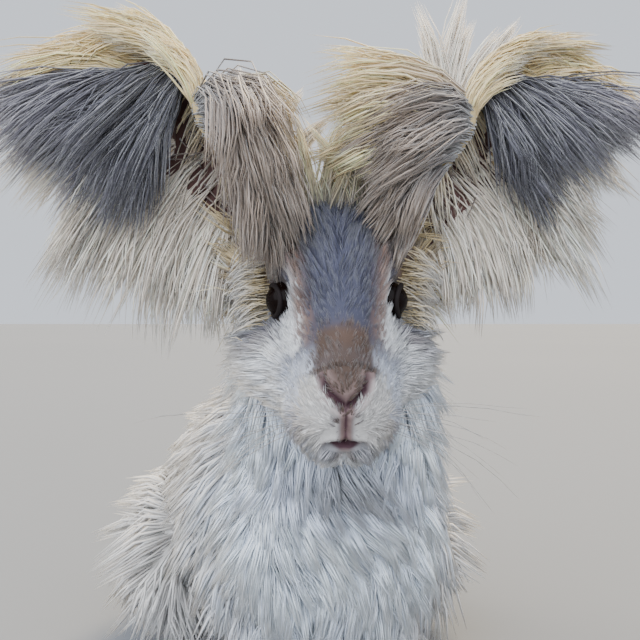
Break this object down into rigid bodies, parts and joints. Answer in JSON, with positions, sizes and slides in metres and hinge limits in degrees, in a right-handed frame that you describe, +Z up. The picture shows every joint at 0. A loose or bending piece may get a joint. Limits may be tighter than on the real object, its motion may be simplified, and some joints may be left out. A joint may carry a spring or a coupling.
{
  "type": "angora rabbit",
  "caption": "Life-size still model of a long-coated angora rabbit sitting up on its forepaws, with wide tufted ears held out to the sides.",
  "frame": {"origin": "on the floor, under the middle of the whole animal's box, ears, coat and tail included", "axes": "+Z up; the face looks along -Y; +X is towards the right of the picture, which is the animal's left"},
  "size_m": [0.305, 0.3728, 0.3638],
  "materials": {
    "coat": "soft long white wool",
    "face_fur": "short dense fur, blue grey, tan and white",
    "ear_fur": "long silky hair, slate with cream tips",
    "eye": "wet gloss"
  },
  "bodies": {
    "root": {"eye_left": "eye", "eye_right": "eye", "head": "face_fur", "ear_left": "ear_fur", "ear_right": "ear_fur", "neck": "coat", "torso": "coat", "tail": "coat", "thigh_left": "coat", "thigh_right": "coat", "hindfoot_left": "coat", "hindfoot_right": "coat", "foreleg_left": "coat", "foreleg_right": "coat"}
  },
  "joints": []
}
